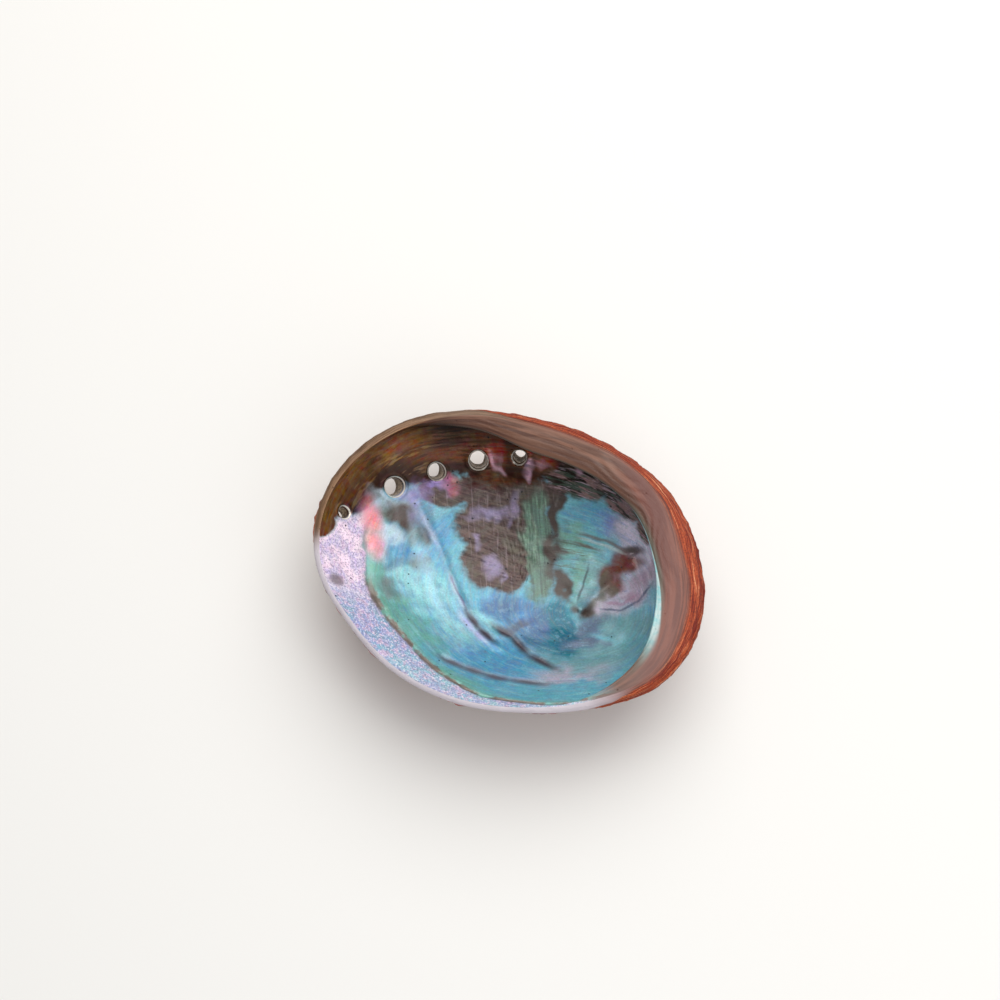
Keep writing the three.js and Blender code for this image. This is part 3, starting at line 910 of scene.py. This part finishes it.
# The edge: a smooth brown rounding, then the broken ends of the red outer layer.
brown_edge = pearl.mix(sheets.between(0.42, 0.58), tone(98, 48, 34), tone(130, 72, 54))
thin_edge = pearl.mix(y_mm.between(16, 0), tone(122, 92, 68), tone(196, 188, 196))
left_edge = pearl.mix(sheets.between(0.42, 0.58), tone(100, 74, 54), tone(134, 106, 84))
brown_edge = pearl.mix(x_mm.between(25, -15), brown_edge, left_edge)
brown_edge = pearl.mix(lip_width.between(4.5, 2.5), brown_edge, thin_edge)
colour = pearl.mix(section.between(0.985, 1.05), colour, brown_edge)

# The back: brick red in growth bands, bleached and crusted, and worn to the chalk where it lies.
brick = pearl.mix(sheets.between(0.42, 0.56), tone(116, 30, 14), tone(178, 78, 40))
# Pale orange-white streaks on the broken sheet ends: painted highlights, glints on the rough red layer.
brick = pearl.mix(sheets.between(0.57, 0.67) * 0.75, brick, tone(226, 160, 118))
back_bands = streaks(grown, 26, 0.03, 4, 0.6)
back = pearl.mix(back_bands.between(0.35, 0.62), tone(104, 40, 28), tone(160, 82, 58))
back = pearl.mix(back_bands.between(0.6, 0.72) * 0.75, back, tone(198, 150, 122))
back = pearl.mix(cloud.between(0.56, 0.68) * 0.6, back, tone(186, 172, 150))
chalk = section.between(2.80, 2.95)
chalk_colour = pearl.mix(grit.between(0.4, 0.65), tone(196, 188, 178), tone(168, 140, 124))
back = pearl.mix(chalk * 0.85, back, chalk_colour)
brick = pearl.mix(section.between(2.0, 2.12), brick, back)
brick = pearl.mix(grit.between(0.52, 0.62) * 0.45, brick, tone(80, 30, 18))

# The red layer starts outside the crest, later where the edge is thin, and covers the whole back.
broken = section + (sheets - 0.5) * 0.25 - lip_width.between(4.5, 2.5) * 0.8
broken = broken - y_mm.between(20, -15) * 0.1 - x_mm.between(8, -25) * 0.6
rough_side = broken.between(1.08, 1.22).larger(section.between(2.0, 2.06))
colour = pearl.mix(rough_side, colour, brick)

# The bores: they go through all the layers, tan-grey, with a bright cream rim on the lining's side, a
# painted highlight for the lit lip of the mouth.
bored = pearl.attribute("bore")
bore_colour = pearl.mix(grit.between(0.4, 0.6), tone(150, 132, 112), tone(104, 88, 74))
colour = pearl.mix(bored.between(0.5, 0.7), colour, bore_colour)
painted_rim_highlight = bored.between(0.2, 0.34) * bored.between(0.52, 0.44) * section.between(1.9, 1.5)
colour = pearl.mix(painted_rim_highlight * 0.95, colour, tone(240, 232, 220))

# Gloss and fine relief: satin pearl and ledge, a duller lip, and a rough back.
roughness = 0.3 + (mottle - 0.5) * 0.15 + lip * 0.2 + scar * 0.08 + wall * 0.04 + on_ledge * 0.08
roughness = roughness + section.between(1.0, 1.1) * 0.12 + rough_side * 0.3

heights = flow * 0.35 + fine_flow * 0.2 + mottle * 0.4 + grit * 0.12
heights = heights + lip * grit * 0.8 + scar * (upright * 0.15 + level * 0.25)
heights = heights + on_ledge * bands * 0.35 + rough_side * (sheets * 2.5 + grit * 1.2) - pinned * 1.5
fine_relief = pearl.node("Bump", None, {"Strength": 0.6, "Distance": 0.0004, "Height": heights})

satin = 1 - rough_side
metal = (0.15 + wall * 0.5 + scar * 0.2 + ribbons_and_shade * 0.3) * satin * (1 - on_ledge) * (1 - lip)
pearl.feed(pearl.shader, {
    "Base Color": colour,
    "Roughness": roughness,
    "Metallic": metal,
    "Normal": fine_relief,
    "Coat Weight": 0.2 * satin * (1 - wall),
    "Coat Roughness": 0.2,
    "Thin Film Thickness": 420,
    "Thin Film IOR": 1.5,
})
shell_mesh.materials.append(pearl.material)

# ---------------------------------------------------------------------------------------------
# The floor: a plain pale sheet, a hair below the shell's worn back.

FLOOR_SIZE = 6
FLOOR_GAP = 0.0002

bpy.ops.mesh.primitive_plane_add(size=FLOOR_SIZE)
floor = bpy.context.object
floor.name = "floor"
floor.location.z = low.z - FLOOR_GAP
floor_paint = Finish("floor_paint")
floor_paint.feed(floor_paint.shader, {"Base Color": (0.82, 0.81, 0.79, 1), "Roughness": 0.8})
floor.data.materials.append(floor_paint.material)

# ---------------------------------------------------------------------------------------------
# The light: a large soft lamp above the far side, a weaker one on the near side, and a dim white
# surrounding.


def softbox(name, at, size, power, tint):
    """A square lamp at a place in metres, which faces about the middle of the shell."""
    lamp = bpy.data.lights.new(name, "AREA")
    lamp.size = size
    lamp.energy = power
    lamp.color = tint
    holder = bpy.data.objects.new(name, lamp)
    holder.location = at
    facing = (np.array([0, 0, 0.02]) - at) / np.linalg.norm(at)
    holder.rotation_euler = Vector(facing).to_track_quat("-Z", "Y").to_euler()
    bpy.context.scene.collection.objects.link(holder)


softbox("key", np.array([0.18, 0.6, 1.1]), 1.6, 17.5, (1, 0.98, 0.95))
softbox("fill", np.array([0.5, -0.7, 0.8]), 1.1, 5, (0.95, 0.98, 1))
room = bpy.context.scene.world or bpy.data.worlds.new("room")
room.use_nodes = True
room.node_tree.nodes["Background"].inputs["Color"].default_value = (1, 1, 1, 1)
room.node_tree.nodes["Background"].inputs["Strength"].default_value = 0.4
bpy.context.scene.world = room

# ---------------------------------------------------------------------------------------------
# The camera: it looks down into the open side from the near side.

ELEVATION = math.radians(66)
DISTANCE = 0.9
TARGET = np.array([-0.0038, 0.0357, 0.025])
lens = bpy.data.cameras.new("camera")
lens.lens = 70
lens.sensor_width = 36
camera = bpy.data.objects.new("camera", lens)
camera.location = TARGET + DISTANCE * np.array([0, -math.cos(ELEVATION), math.sin(ELEVATION)])
camera.rotation_euler = (math.pi / 2 - ELEVATION, 0, 0)
bpy.context.scene.collection.objects.link(camera)
bpy.context.scene.camera = camera
bpy.context.scene.view_settings.view_transform = "Standard"
